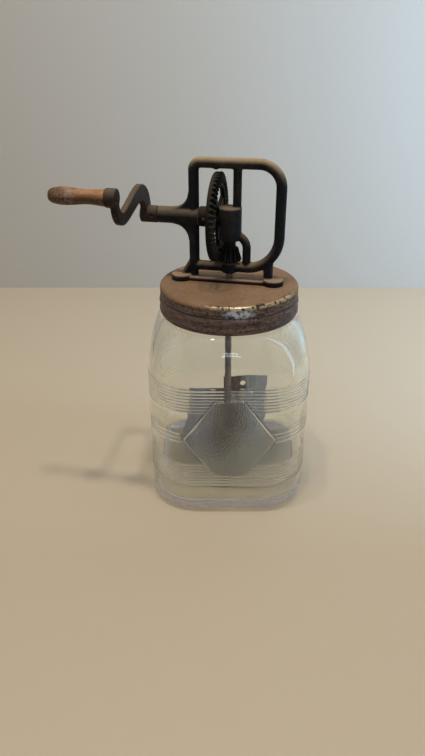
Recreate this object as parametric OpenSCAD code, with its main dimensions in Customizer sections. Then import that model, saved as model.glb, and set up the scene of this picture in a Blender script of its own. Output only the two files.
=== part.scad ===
// Glass jar butter churn: a square glass jar, a screw lid of pressed tin, and a cast head on the lid
// that carries a hand crank, a pair of bevel gears and the rod with the dasher paddles.
// Millimetres, +Z up. The origin is the middle of the jar's base, on the axis of the dasher rod.
// The crank shaft runs along X, with the crank at the -X end.

/* [Jar] */
// Width of the glass body across its flats
jar_w = 156; // [140:1:180]
// Corner radius of the glass body
jar_corner_r = 46; // [32:1:56]
// Height of the glass from the table to the rim
jar_h = 216; // [200:1:240]
// Thickness of the glass wall
glass_t = 5; // [3:0.5:6]
// Thickness of the glass floor
floor_t = 9; // [6:0.5:14]
// Radius of the rounded heel
heel_r = 12; // [6:1:16]
// Radius of the corner inside, round the floor
floor_r = 3; // [2:0.5:6]
// Outer radius of the round neck
neck_r = 60.5; // [56:0.5:66]
// Height of the round neck above the shoulder
neck_h = 25.5; // [25:0.5:30]
// Height of the shoulder between the square body and the neck
shoulder_h = 44; // [30:1:46]
// Turn of the jar about the rod, where the lid happens to come tight
jar_turn = 11.5; // [0:0.5:45]

/* [Jar relief] */
// Ribs in each of the two bands round the jar
rib_count = 8; // [3:1:8]
// Distance from rib to rib
rib_pitch = 3.3; // [2.5:0.1:3.6]
// Height of one rib
rib_w = 1.7; // [1:0.1:2]
// How far the ribs and the diamond stand proud of the glass
rib_proud = 0.8; // [0.4:0.1:1.2]
// Height of the highest rib of the upper band
upper_rib_z = 142.5; // [120:0.5:146]
// Height of the lowest rib of the lower band
lower_rib_z = 35; // [25:0.5:50]
// Height of the middle of the diamond on each face
diamond_z = 88; // [80:0.5:95]
// Half of the diamond's width
diamond_half_w = 45.5; // [35:0.5:50]
// Half of the diamond's height, to its cut-off points
diamond_half_h = 43.5; // [35:0.5:46]
// Width of the cut-off top and bottom points
diamond_tip_w = 29; // [15:0.5:35]
// Width of the raised line round the diamond
diamond_line = 2.4; // [1.5:0.1:4]

/* [Screw thread] */
// Rise of the lid in one turn
thread_pitch = 8; // [6:0.5:10]
// Turns of thread on the glass and in the lid
thread_turns = 1.25; // [1:0.05:1.4]
// Distance from the rim down to the glass thread's lower end
thread_drop = 17; // [16:0.5:18]
// How far the glass thread stands proud of the neck
thread_proud = 2.2; // [1.5:0.1:2.6]
// Height of a thread at its root
thread_w = 3; // [2:0.1:3.4]
// Gap between the two threads when the lid is tight
thread_gap = 0.3; // [0.2:0.05:0.5]

/* [Lid] */
// Thickness of the tin
tin_t = 0.9; // [0.6:0.1:1.5]
// Gap between the neck's thread and the inside of the skirt
skirt_gap = 2.7; // [0.8:0.1:3.2]
// Height of the lid's skirt
skirt_h = 27; // [26:0.5:27.5]
// Height of the plain band at the top of the skirt
plain_band_h = 11.5; // [8:0.5:14]
// How far the two beads of the skirt stand proud
bead_proud = 0.9; // [0.5:0.1:1.5]
// Radius of the lid's rounded rim
lid_edge_r = 3.5; // [2:0.5:5]
// Thickness of the rubber gasket
gasket_t = 2; // [1:0.5:4]
// Width of the rubber gasket
gasket_w = 8; // [5:0.5:8.5]

/* [Cast head] */
// Diameter of the frame's round bars
bar_d = 9; // [7:0.5:10]
// Distance from the rod to the middle of the left leg
left_leg_x = 33.6; // [31:0.1:40]
// Distance from the rod to the middle of the right leg
right_leg_x = 46.1; // [38:0.1:55]
// Height of the crank shaft above the lid
crank_h = 61.3; // [60:0.1:66]
// Height of the top bar's middle above the crank shaft
top_bar_rise = 48; // [46:0.1:56]
// Height of the bottom bar's middle above the lid
low_bar_h = 14.8; // [13:0.1:15]
// Diameter of the bottom bar
low_bar_d = 8.5; // [7:0.1:9]
// Thickness of the foot strap that lies on the lid
strap_t = 3.6; // [3:0.1:5]
// Width of the foot strap
strap_w = 11; // [9:0.5:14]
// Diameter of the round foot pads
pad_d = 19.4; // [16:0.1:24]
// Thickness of the foot pads
pad_t = 5.4; // [4:0.1:6]
// Distance from the outside of the neck in to the left foot pad's middle
left_pad_in = 14; // [13.5:0.5:17.5]
// Distance from the outside of the neck in to the right foot pad's middle
right_pad_in = 18.5; // [13.5:0.5:20.5]
// Diameter of the crank shaft's long bearing boss
boss_d = 14.5; // [13:0.1:18]
// Length of the bearing boss outside the left leg's middle
boss_len = 34; // [26:0.5:45]
// Diameter of the bearing block over the pinion
block_d = 21; // [19:0.1:22]
// Height of the bearing block's top above the crank shaft
block_rise = 9.5; // [8:0.1:14]
// How far the bearing block reaches below the crank shaft
block_drop = 20; // [16:0.5:21]
// Diameter of the rod's upper bearing under the block
rod_boss_d = 11; // [10:0.5:12]
// Screws that hold the head to the lid
screw_d = 5; // [4:0.1:6]

/* [Gears] */
// Teeth on the drive gear
gear_teeth = 48; // [44:4:48]
// Teeth on the bevel pinion
pinion_teeth = 12; // [12:1:16]
// Tooth size: pitch diameter over teeth
tooth_module = 1.667; // [1.6:0.001:1.68]
// Length of the drive gear's teeth along their cone
face_w = 9; // [6:0.5:10]
// Length of the pinion's teeth along their cone
pinion_face_w = 13; // [10:0.5:13]
// Width of the plain band inside the drive gear's teeth
gear_band_w = 2.5; // [1:0.5:4]
// Distance from the rod to the back of the drive gear's rim
gear_back = 14.8; // [14.6:0.1:17]
// Play between the teeth at the pitch line
backlash = 0.5; // [0.3:0.05:0.8]
// Diameter of the drive gear's hub
gear_hub_d = 18; // [15:0.5:22]
// Spokes of the drive gear
spokes = 4; // [3:1:6]
// Turn of the spokes at rest
spoke_turn = -20; // [-45:1:45]

/* [Crank] */
// Diameter of the crank shaft
shaft_d = 8; // [6:0.1:9]
// Distance from the shaft to the grip
throw_len = 90; // [70:1:110]
// Slope of the crank at rest, towards -Y and up
crank_slope = 21.5; // [0:0.5:45]
// How far the arm swings up from a straight line
ogee_w = 15; // [8:0.5:18]
// Width of the arm at its hub
arm_w = 17.5; // [13:0.5:18]
// Width of the arm at its eye
arm_tip_w = 7.5; // [7:0.5:11]
// Thickness of the arm
arm_t = 5; // [4:0.1:8]
// Length of the crank's hub
hub_len = 15.8; // [14:0.1:22]
// Diameter of the crank's hub
hub_d = 15; // [13:0.1:18]
// Diameter of the crank's eye
eye_d = 15; // [13:0.1:17]
// Diameter of the grip's spindle
spindle_d = 5; // [4:0.1:6]
// Length of the wooden grip
grip_len = 48; // [42:1:80]
// Largest diameter of the wooden grip
grip_d = 14.5; // [13.5:0.5:22]
// Diameter of the grip's waist
grip_waist_d = 11.5; // [10:0.5:13]

/* [Dasher] */
// Diameter of the dasher rod
rod_d = 6.35; // [5:0.05:7]
// Height of the rod's lower end above the table
rod_z = 12.5; // [12:0.5:20]
// Height of one paddle
paddle_h = 76; // [60:1:80]
// Reach of the paddles from the rod
paddle_len = 42; // [34:0.5:46]
// Distance from the rod to the paddle's fold
fold_x = 21; // [16:0.5:24]
// Angle of the fold
fold_angle = 18; // [5:1:45]
// Turn of the paddles about the rod at rest
paddle_turn = 24; // [0:1:90]
// Height of the lower paddle's bottom edge above the table
paddle_z = 24; // [18:0.5:28]
// Height of the upper paddle above the lower one
paddle_step = 15.5; // [10:0.5:24]
// Thickness of the paddles
paddle_t = 1; // [0.8:0.1:1.5]
// Diameter of the holes through the paddles
paddle_hole_d = 6; // [3:0.5:8]

/* [Fits] */
// Clearance between a turning shaft and its bearing
run = 0.05; // [0.03:0.01:0.1]
// Clearance between fixed pieces
fit = 0.03; // [0.02:0.01:0.05]
// End play of a hub on its thrust washer
play = 0.15; // [0.1:0.05:0.3]
// Clearance between faces that move past each other
gap = 0.3; // [0.2:0.05:0.5]

/* [Hidden] */
$fn = 96;
smooth = 8;             // steps of a rounded corner
cut = 0.02;             // overshoot of a cutting shape

// Levels up the churn
rim_z = jar_h;
neck_z = jar_h - neck_h;
body_z = neck_z - shoulder_h;
lid_z = rim_z + gasket_t + tin_t;
thread_z = rim_z - thread_drop;
thread_sink = 1;
thread_room = 0.5;
gasket_over = 0.5;
gasket_r = neck_r + gasket_over;
axis_z = lid_z + crank_h;
top_bar_z = axis_z + top_bar_rise;
low_bar_z = lid_z + low_bar_h;

// Bevel gears: both pitch cones have their point where the two shafts' axes cross
cone_len = tooth_module / 2 * sqrt(pow(gear_teeth, 2) + pow(pinion_teeth, 2));
gear_cone = atan(gear_teeth / pinion_teeth);
pinion_cone = 90 - gear_cone;
pressure = 20;
gear_add = 0.7 * tooth_module;
pinion_add = tooth_module;
tip_room = 0.25 * tooth_module;
gear_ded = pinion_add + tip_room;
pinion_ded = gear_add + tip_room;
half_tooth = PI * tooth_module / 4 - backlash / 4;
tooth_sink = 0.6;
tooth_end = 0.3;
deg = 180 / PI;
gear_root = gear_cone - gear_ded / cone_len * deg;
pinion_root = pinion_cone - pinion_ded / cone_len * deg;
short_len = cone_len - face_w;
body_len = cone_len + tooth_end;
body_short = short_len - tooth_end;
pinion_short_len = cone_len - pinion_face_w;
pinion_body_short = pinion_short_len - tooth_end;

// Cast head
left_pad_x = neck_r - left_pad_in;
right_pad_x = neck_r - right_pad_in;
pinion_tip = pinion_cone + pinion_add / cone_len * deg;
over_pinion = min(pinion_short_len * cos(pinion_tip), pinion_body_short * cos(pinion_root));
rod_boss_low = axis_z - over_pinion + gap;
block_low = axis_z - block_drop;
bearing_d = 14;
washer_t = 0.9;
bearing_top = axis_z - body_len * cos(pinion_root) - play - washer_t;
leg_face = left_leg_x - bar_d / 2;
hub_back = leg_face - washer_t;
boss_end = left_leg_x + boss_len;
mid_bar_x = 6.5;
mid_bar_d = 7.2;
neck_bar_x = 16.2;
neck_bar_d = 7.2;
neck_bend = 12;
crook_angle = 85;
left_bend = 6.5;
right_bend = 20;
foot_bend = 30;
right_post_in = 9;
crook_bite = 0.6;
gusset_r = 15;
gusset_t = 7;
post_d = 7;
nib_x = 13;
nib_d = 4;
nib_proud = 1;
bearing_drop = 0.5;
post_shy = 0.6;
right_post_d = bar_d - post_shy;
slant_d = 6.5;
screw_cover = 0.9;
screw_head_d = 9;
screw_head_t = 2.2;
screw_washer_d = 11;
screw_len = pad_t - screw_cover;
pin_d = 3;
pin_sunk = 0.3;
gear_pin_in = 5;
gear_dish = 2.4;
gear_step_w = 2;
block_room = 1;

// Crank, measured outwards from the end of the boss
crank_in = boss_end + gap;
crank_out = crank_in + hub_len;
hub_lip = 1.7;
arm_out = crank_out - hub_lip;
arm_in = arm_out - arm_t;
grip_x = throw_len * cos(crank_slope);
grip_z = throw_len * sin(crank_slope);
shaft_recess = 1;
head_d = 6.8;
head_t = 2;
head_room = 2.5;
sink_d = head_d + 1.2;
sink_lip = 0.3;
burr = 1.2;
eye_rise = 4;
eye_out = arm_out + eye_rise;
grip_in = eye_out + gap;
grip_out = grip_in + grip_len;
grip_seat = grip_out - head_room - head_t - washer_t;

// Dasher
rod_r = rod_d / 2;
saddle_r = rod_r + fit + paddle_t;
hole_in = 4.6;
hole_down = 9;
rivet_d = 3;
rivet_head_d = 5.5;
rivet_head_t = 1.3;
rod_bearing = 17;
rod_top = rod_boss_low + rod_bearing;
pinion_pin_d = 2.4;
pinion_pin_z = axis_z - (cone_len + short_len) / 2 * cos(pinion_root) - pinion_pin_d / 2;
upper_z = paddle_z + paddle_step;
upper_end = upper_z + paddle_h;
lower_end = paddle_z + paddle_h;
rivet_in = 8;

// A cylinder along X, from x0 to x1
module rod_x(d, x0, x1) {
    translate([x0, 0, 0]) rotate([0, 90, 0]) cylinder(d = d, h = x1 - x0);
}

// A quarter or smaller part of a round bar bent in the XZ plane, about [x, z], from angle a by turn
module bend_xz(x, z, r, d, a, turn) {
    translate([x, 0, z]) rotate([90, 0, 0]) rotate([0, 0, a])
        rotate_extrude(angle = turn) translate([r, 0]) circle(d = d);
}

// A flat ring
module ring(d, bore, h) {
    difference() {
        cylinder(d = d, h = h);
        translate([0, 0, -cut]) cylinder(d = bore, h = h + 2 * cut);
    }
}

// Outline of the jar at one level, as a square with round corners
module jar_outline(grow) {
    side = jar_w / 2 - jar_corner_r;
    square([jar_w + 2 * grow, 2 * side], center = true);
    square([2 * side, jar_w + 2 * grow], center = true);
    for (x = [-side, side], y = [-side, side])
        translate([x, y]) circle(r = jar_corner_r + grow);
}

// The square part of the jar with its rounded heel, set in from the outside by inset
module jar_body(inset, low, high, heel) {
    side = jar_w / 2 - jar_corner_r;
    r = jar_corner_r - inset;
    turn = [for (i = [0 : smooth]) 90 * i / smooth];
    foot = [for (a = turn) [r - heel + heel * sin(a), low + heel - heel * cos(a)]];
    for (x = [-side, side], y = [-side, side])
        translate([x, y, 0]) rotate_extrude() polygon(concat([[0, low]], foot, [[r, high], [0, high]]));
    half = [for (p = foot) [p[0] + side, p[1]]];
    other = [for (i = [smooth : -1 : 0]) [-half[i][0], half[i][1]]];
    edge = concat(half, [[r + side, high], [-r - side, high]], other);
    for (a = [0, 90])
        rotate([0, 0, a]) rotate([90, 0, 0]) linear_extrude(2 * side, center = true) polygon(edge);
}

// One level of the shoulder: share 0 is the square body and 1 is the round neck
shoulder_points = 48;
shoulder_steps = 6;
step = 0.25;
function shoulder_half(share, inset) =
    neck_r + step - inset + (jar_w / 2 - neck_r - 2 * step) * cos(90 * share);
function shoulder_side(share) = (jar_w / 2 - jar_corner_r) * pow(1 - share, 1.3);
function shoulder_ring(share, inset) =
    let (side = shoulder_side(share), r = shoulder_half(share, inset) - side,
         quarter = shoulder_points / 4)
    [for (k = [0 : 3], i = [0 : quarter - 1])
        let (a = 90 * (k + i / (quarter - 1)), m = 90 * k + 45)
        [r * cos(a) + sqrt(2) * side * cos(m), r * sin(a) + sqrt(2) * side * sin(m),
         body_z - (share > 0 ? 0 : step) + shoulder_h * sin(90 * share)]];

// The shoulder, from the square body to the round neck
module shoulder(inset) {
    n = shoulder_points;
    points = [for (s = [0 : shoulder_steps]) each shoulder_ring(s / shoulder_steps, inset)];
    walls = [for (s = [0 : shoulder_steps - 1], i = [0 : n - 1])
        let (a = s * n + i, b = s * n + (i + 1) % n)
        each [[a, a + n, b + n], [a, b + n, b]]];
    base = [for (i = [0 : n - 1]) i];
    top = [for (i = [n - 1 : -1 : 0]) shoulder_steps * n + i];
    polyhedron(points, concat(walls, [base, top]));
}

// A screw thread that climbs round the axis, tapering off at both ends, from radius root to crest
thread_step = 9;
module thread(root, crest, z) {
    steps = round(thread_turns * 360 / thread_step);
    points = [for (i = [0 : steps])
        let (a = i * thread_step, up = z + thread_pitch * a / 360,
             lead = min(1, min(i, steps - i) / 4), tip = root + (crest - root) * (0.55 + 0.45 * lead))
        each [[root * cos(a), root * sin(a), up - thread_w / 2],
              [tip * cos(a), tip * sin(a), up - thread_w / 4],
              [tip * cos(a), tip * sin(a), up + thread_w / 4],
              [root * cos(a), root * sin(a), up + thread_w / 2]]];
    sides = [for (i = [0 : steps - 1], k = [0 : 3])
        let (p = 4 * i + k, q = 4 * i + (k + 1) % 4)
        each (crest > root ? [[p, q, q + 4], [p, q + 4, p + 4]] : [[p, q + 4, q], [p, p + 4, q + 4]])];
    e = 4 * steps;
    ends = crest > root ? [[3, 2, 1, 0], [e, e + 1, e + 2, e + 3]]
        : [[0, 1, 2, 3], [e + 3, e + 2, e + 1, e]];
    polyhedron(points, concat(sides, ends));
}

// The diamond with cut-off points, drawn on a jar face and grown by a margin
module diamond(grow) {
    w = diamond_half_w + grow;
    h = diamond_half_h + grow;
    t = diamond_tip_w / 2 + grow / 2;
    polygon([[w, 0], [t, h], [-t, h], [-w, 0], [-t, -h], [t, -h]]);
}

// Something drawn on a jar face, carried right through the jar on both pairs of faces
module on_faces() {
    for (a = [0, 90])
        rotate([0, 0, a]) translate([0, 0, diamond_z]) rotate([90, 0, 0])
            linear_extrude(2 * jar_w, center = true) children();
}

// Raised pattern: two bands of ribs, and a lined diamond on every face that interrupts them
module jar_relief() {
    upper = [for (i = [0 : rib_count - 1]) upper_rib_z - i * rib_pitch];
    lower = [for (i = [0 : rib_count - 1]) lower_rib_z + i * rib_pitch];
    difference() {
        for (z = concat(upper, lower))
            translate([0, 0, z - rib_w / 2]) linear_extrude(rib_w) jar_outline(rib_proud);
        on_faces() diamond(0);
    }
    intersection() {
        translate([0, 0, diamond_z - diamond_half_h - rib_w])
            linear_extrude(2 * (diamond_half_h + rib_w)) jar_outline(rib_proud);
        on_faces() difference() {
            diamond(0);
            diamond(-diamond_line);
        }
    }
}

// Square jar of pressed glass with a round threaded neck
module glass_jar() {
    color("#c9d6d2", 0.5) rotate([0, 0, jar_turn]) difference() {
        union() {
            jar_body(0, 0, body_z, heel_r);
            jar_relief();
            shoulder(0);
            translate([0, 0, neck_z - glass_t]) cylinder(r = neck_r, h = neck_h + glass_t);
            thread(neck_r - thread_sink, neck_r + thread_proud, thread_z);
        }
        jar_body(glass_t, floor_t, body_z, floor_r);
        shoulder(glass_t);
        translate([0, 0, neck_z - glass_t]) cylinder(r = neck_r - glass_t, h = neck_h + glass_t + cut);
    }
}

// Rubber ring between the glass rim and the lid
module jar_gasket() {
    color("#3a3733") translate([0, 0, rim_z + fit])
        ring(2 * gasket_r, 2 * (gasket_r - gasket_w), gasket_t - 2 * fit);
}

// Places of the two screws that hold the cast head to the lid
module at_pads() {
    for (x = [-left_pad_x, right_pad_x])
        translate([x, 0, 0]) children();
}

// Pressed tin screw lid with a plain band and two beads round its skirt
module screw_lid() {
    in_r = neck_r + thread_proud + skirt_gap;
    out_r = in_r + tin_t;
    bead_h = (skirt_h - plain_band_h) / 2;
    turn = [for (i = [0 : smooth]) 90 * i / smooth];
    rim = [for (a = turn) [out_r - lid_edge_r + lid_edge_r * sin(a), -lid_edge_r + lid_edge_r * cos(a)]];
    in_edge = lid_edge_r - tin_t;
    inner_rim = [for (i = [smooth : -1 : 0])
        [out_r - lid_edge_r + in_edge * sin(turn[i]), -lid_edge_r + in_edge * cos(turn[i])]];
    beads = [for (k = [0, 1], i = [0 : smooth])
        [out_r + bead_proud * sin(180 * i / smooth), -plain_band_h - bead_h * (k + i / smooth)]];
    color("#6b5844") {
        difference() {
            union() {
                translate([0, 0, lid_z]) rotate_extrude()
                    polygon(concat([[0, 0]], rim, beads, [[in_r, -skirt_h]], inner_rim, [[0, -tin_t]]));
                rotate([0, 0, jar_turn])
                    thread(in_r + tin_t / 2, neck_r + thread_room, thread_z - thread_w - thread_gap);
            }
            translate([0, 0, lid_z - skirt_h]) cylinder(d = rod_d + 2, h = skirt_h + cut);
            at_pads() translate([0, 0, lid_z - 2 * tin_t]) cylinder(d = screw_d + 2 * gap, h = 3 * tin_t);
        }
    }
}

// Loop of round cast bars that stands on the lid
module frame_loop() {
    low = low_bar_z;
    translate([0, 0, top_bar_z]) rod_x(bar_d, -left_leg_x + left_bend, right_leg_x - right_bend);
    bend_xz(-left_leg_x + left_bend, top_bar_z - left_bend, left_bend, bar_d, 90, 90);
    bend_xz(right_leg_x - right_bend, top_bar_z - right_bend, right_bend, bar_d, 0, 90);
    translate([-left_leg_x, 0, low]) cylinder(d = bar_d, h = top_bar_z - left_bend - low);
    right_h = top_bar_z - right_bend - low - foot_bend;
    translate([right_leg_x, 0, low + foot_bend]) cylinder(d = bar_d, h = right_h);
    bend_xz(right_leg_x - foot_bend, low + foot_bend, foot_bend, bar_d, 270, 90);
    translate([0, 0, low]) rod_x(low_bar_d, -left_leg_x, right_leg_x - foot_bend + cut);
    translate([-nib_x, 0, top_bar_z - bar_d / 2 - nib_proud]) cylinder(d = nib_d, h = bar_d / 2);
}

// Crooked bar that passes round the pinion, from the bottom bar into the block
module crooked_bar() {
    bend_z = block_low - neck_bend + neck_bar_d / 2 + crook_bite;
    union() {
        bend_xz(neck_bar_x - neck_bend, bend_z, neck_bend, neck_bar_d, 0, crook_angle);
        translate([neck_bar_x, 0, low_bar_z]) cylinder(d = neck_bar_d, h = bend_z - low_bar_z);
    }
}

// Bearing block, the bar above it, the crooked bar, and the rod's lower bearing
module frame_middle() {
    translate([0, 0, block_low]) cylinder(d = block_d, h = block_drop + block_rise);
    translate([0, 0, rod_boss_low]) cylinder(d = rod_boss_d, h = axis_z - rod_boss_low);
    translate([mid_bar_x, 0, axis_z]) cylinder(d = mid_bar_d, h = top_bar_rise);
    crooked_bar();
    bearing_low = low_bar_z - low_bar_d / 2 - bearing_drop;
    translate([0, 0, bearing_low]) cylinder(d = bearing_d, h = bearing_top - bearing_low);
}

// Foot strap, its two pads, and the posts that carry the loop
module frame_foot() {
    translate([-left_pad_x, -strap_w / 2, lid_z]) cube([left_pad_x + right_pad_x, strap_w, strap_t]);
    at_pads() translate([0, 0, lid_z]) cylinder(d = pad_d, h = pad_t);
    translate([-left_leg_x, 0, lid_z]) cylinder(d = post_d, h = low_bar_h);
    bend_rise = foot_bend - sqrt(pow(foot_bend, 2) - pow(foot_bend - right_post_in, 2));
    translate([right_leg_x - right_post_in, 0, lid_z])
        cylinder(d = right_post_d, h = low_bar_h + bend_rise);
    lean = left_pad_x - left_leg_x;
    rise = low_bar_h + slant_d;
    translate([-left_leg_x, 0, lid_z + rise]) rotate([0, 180 + atan(lean / rise), 0])
        cylinder(d = slant_d, h = norm([lean, rise - pad_t / 2]));
}

// Long bearing for the crank shaft, with a hollow-curved web above and below
module frame_boss() {
    translate([0, 0, axis_z]) rod_x(boss_d, -boss_end, -leg_face - cut);
    for (side = [-1, 1])
        translate([-left_leg_x - bar_d / 4, 0, axis_z + side * boss_d / 4]) rotate([90, 0, 0])
            linear_extrude(gusset_t, center = true) web_outline(side);
}

// One web: a square whose outer corner is a hollow quarter circle
module web_outline(side) {
    w = gusset_r + bar_d / 4;
    h = gusset_r + boss_d / 4;
    mirror([1, 0]) mirror([0, side < 0 ? 1 : 0]) difference() {
        square([w, h]);
        translate([w, h]) circle(r = gusset_r);
    }
}

// Cast-iron head with the bearings of both shafts
module gear_frame() {
    color("#2b2622") difference() {
        union() {
            frame_loop();
            frame_middle();
            frame_foot();
            frame_boss();
        }
        translate([0, 0, axis_z]) rod_x(shaft_d + 2 * run, -boss_end - cut, -leg_face + cut);
        translate([0, 0, axis_z]) rod_x(shaft_d + 2 * run, -block_d / 2 - cut, block_d / 4 + gap);
        translate([0, 0, lid_z - cut]) cylinder(d = rod_d + 2 * run, h = rod_top + gap - lid_z);
        at_pads() translate([0, 0, lid_z - cut]) cylinder(d = screw_d + 2 * fit, h = screw_len + gap + cut);
    }
}

// Two screws from under the lid into the foot pads
module frame_screws() {
    color("#57524a") at_pads() translate([0, 0, lid_z - tin_t - washer_t]) {
        translate([0, 0, -screw_head_t]) cylinder(d1 = screw_d, d2 = screw_head_d, h = screw_head_t);
        cylinder(d = screw_d, h = tin_t + washer_t + screw_len);
    }
}

// Washers under the two screw heads
module screw_washers() {
    color("#77716a") at_pads() translate([0, 0, lid_z - tin_t - washer_t])
        ring(screw_washer_d, screw_d + 2 * gap, washer_t);
}

// A bore for a pin, across a round piece of diameter w
module pin_hole(d, w) {
    rotate([90, 0, 0]) cylinder(d = d + 2 * fit, h = w + 2 * cut, center = true);
}

crank_pin_x = crank_in + (arm_in - crank_in) / 2;
gear_pin_x = hub_back - gear_pin_in;

// Steel crank shaft
module crank_shaft() {
    color("#4a443d") translate([0, 0, axis_z]) difference() {
        rod_x(shaft_d, -crank_out + shaft_recess, block_d / 4);
        translate([-crank_pin_x, 0, 0]) pin_hole(pin_d, shaft_d);
        translate([-gear_pin_x, 0, 0]) pin_hole(pin_d, shaft_d);
    }
}

// Middle line of the S-shaped arm: three curves in a row, the second swing a little shallower than the first
function bezier(p, t) =
    pow(1 - t, 3) * p[0] + 3 * t * pow(1 - t, 2) * p[1] + 3 * t * t * (1 - t) * p[2] + pow(t, 3) * p[3];
function on_arm(shares) = [for (s = shares) [s[0] * throw_len, s[1] * ogee_w]];
arm_start = on_arm([[0, 0], [0.05, 0.75], [0.13, 1.15], [0.28, 1]]);
arm_mid = on_arm([[0.28, 1], [0.41, 0.8], [0.65, -0.72], [0.78, -0.9]]);
arm_end = on_arm([[0.78, -0.9], [0.9, -1.03], [0.95, -0.67], [1, 0]]);
arm_steps = 10;
arm_line = concat(
    [for (i = [0 : arm_steps - 1]) bezier(arm_start, i / arm_steps)],
    [for (i = [0 : arm_steps - 1]) bezier(arm_mid, i / arm_steps)],
    [for (i = [0 : arm_steps]) bezier(arm_end, i / arm_steps)]);
function arm_side(i) =
    let (last = len(arm_line) - 1, a = arm_line[max(i - 1, 0)], b = arm_line[min(i + 1, last)], d = b - a)
    [-d[1], d[0]] / norm(d) * (arm_w + (arm_tip_w - arm_w) * i / last) / 2;

// Puts a drawing of the arm in its plane: drawing x runs to the grip, and it is arm_t thick
module in_arm_plane() {
    translate([-arm_out, 0, axis_z]) rotate([90, 0, 90]) mirror([1, 0, 0]) rotate([0, 0, crank_slope])
        children();
}

// S-shaped cast crank arm with its hub and the eye for the grip
module crank_arm() {
    last = len(arm_line) - 1;
    left = [for (i = [0 : last]) arm_line[i] + arm_side(i)];
    right = [for (i = [last : -1 : 0]) arm_line[i] - arm_side(i)];
    color("#332a25") difference() {
        union() {
            in_arm_plane() {
                linear_extrude(arm_t) polygon(concat(left, right));
                translate([throw_len, 0, -eye_rise]) cylinder(d = eye_d, h = arm_t + eye_rise);
            }
            translate([0, 0, axis_z]) rod_x(hub_d, -crank_out, -crank_in);
        }
        translate([0, 0, axis_z]) rod_x(shaft_d + 2 * fit, -crank_out - cut, -crank_in + cut);
        translate([-crank_pin_x, 0, axis_z]) pin_hole(pin_d, hub_d);
        translate([0, -grip_x, axis_z + grip_z]) rod_x(spindle_d + 2 * fit, -eye_out - cut, -arm_in + cut);
    }
}

// Pin through the crank's hub and the shaft
module crank_pin() {
    color("#5c554c") translate([-crank_pin_x, 0, axis_z]) rotate([90, 0, 0])
        cylinder(d = pin_d, h = hub_d - 2 * pin_sunk, center = true);
}

// Steel spindle that the wooden grip turns on, riveted over at the arm
module grip_spindle() {
    color("#5c554c") translate([0, -grip_x, axis_z + grip_z]) {
        rod_x(spindle_d, -grip_seat - washer_t - cut, -arm_in);
        rod_x(head_d, -grip_seat - washer_t - head_t, -grip_seat - washer_t);
        translate([-arm_in, 0, 0]) rotate([0, 90, 0])
            cylinder(d1 = spindle_d + burr, d2 = spindle_d, h = burr);
    }
}

// Washer under the spindle's head, sunk in the end of the grip
module grip_washer() {
    color("#77716a") translate([-grip_seat - washer_t, -grip_x, axis_z + grip_z]) rotate([0, 90, 0])
        ring(head_d + 0.6, spindle_d + 2 * fit, washer_t);
}

// Turned wooden grip with a waist and a round end
module wooden_grip() {
    swell = grip_d / 2;
    waist = grip_waist_d / 2;
    steps = 24;
    waist_at = 0.3;
    bulb_at = 0.72;
    shy = 0.4;
    mouth = sink_d / 2 + sink_lip;
    profile = [for (i = [0 : steps])
        let (s = i / steps,
             rise = (s - waist_at) / (bulb_at - waist_at),
             r = s < waist_at ? waist + (swell - shy - waist) * pow(cos(90 * s / waist_at), 2)
               : s < bulb_at ? waist + (swell - waist) * pow(sin(90 * rise), 2)
               : mouth + (swell - mouth) * sqrt(1 - pow((s - bulb_at) / (1 - bulb_at), 2)))
        [r, s * grip_len]];
    color("#9a5f2c") translate([-grip_in, -grip_x, axis_z + grip_z]) rotate([0, -90, 0]) difference() {
        rotate_extrude() polygon(concat([[0, 0]], profile, [[0, grip_len]]));
        translate([0, 0, -cut]) cylinder(d = spindle_d + 2 * run, h = grip_len);
        translate([0, 0, grip_seat - run - grip_in]) cylinder(d = sink_d, h = grip_len);
    }
}

// Half of a tooth's angle round its gear at height h over the pitch cone
function involute(a) = tan(a) * deg - a;
function tooth_half_angle(cone, h) =
    let (flat_r = cone_len * tan(cone), r = flat_r + h, base_r = flat_r * cos(pressure),
         a = r > base_r ? acos(base_r / r) : 0,
         half = half_tooth / flat_r * deg + involute(pressure) - involute(a))
    half * r / (cone_len * sin(cone + h / cone_len * deg));
function on_cone(len, cone, turn) = len * [sin(cone) * cos(turn), sin(cone) * sin(turn), cos(cone)];

// One bevel tooth, tapering towards the point of the cone at the origin
module bevel_tooth(cone, ded, add, face) {
    heights = [-ded - tooth_sink, -ded / 2, 0, add / 2, add];
    n = len(heights);
    points = [for (l = [cone_len, cone_len - face], side = [-1, 1], h = heights)
        on_cone(l, cone + h / cone_len * deg, side * tooth_half_angle(cone, h))];
    flanks = [for (i = [0 : n - 2])
        each [[i, i + 1, i + 1 + 2 * n, i + 2 * n], [n + i, 3 * n + i, 3 * n + i + 1, n + i + 1],
              [i, n + i, n + i + 1, i + 1], [2 * n + i, 2 * n + i + 1, 3 * n + i + 1, 3 * n + i]]];
    t = n - 1;
    caps = [[t, n + t, 3 * n + t, 2 * n + t], [0, 2 * n, 3 * n, n]];
    polyhedron(points, [for (f = concat(flanks, caps)) each [[f[0], f[1], f[2]], [f[0], f[2], f[3]]]]);
}

// All the teeth of a bevel gear
module bevel_teeth(count, cone, ded, add, face, first) {
    for (i = [0 : count - 1])
        rotate([0, 0, first + 360 * i / count]) bevel_tooth(cone, ded, add, face);
}

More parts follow.
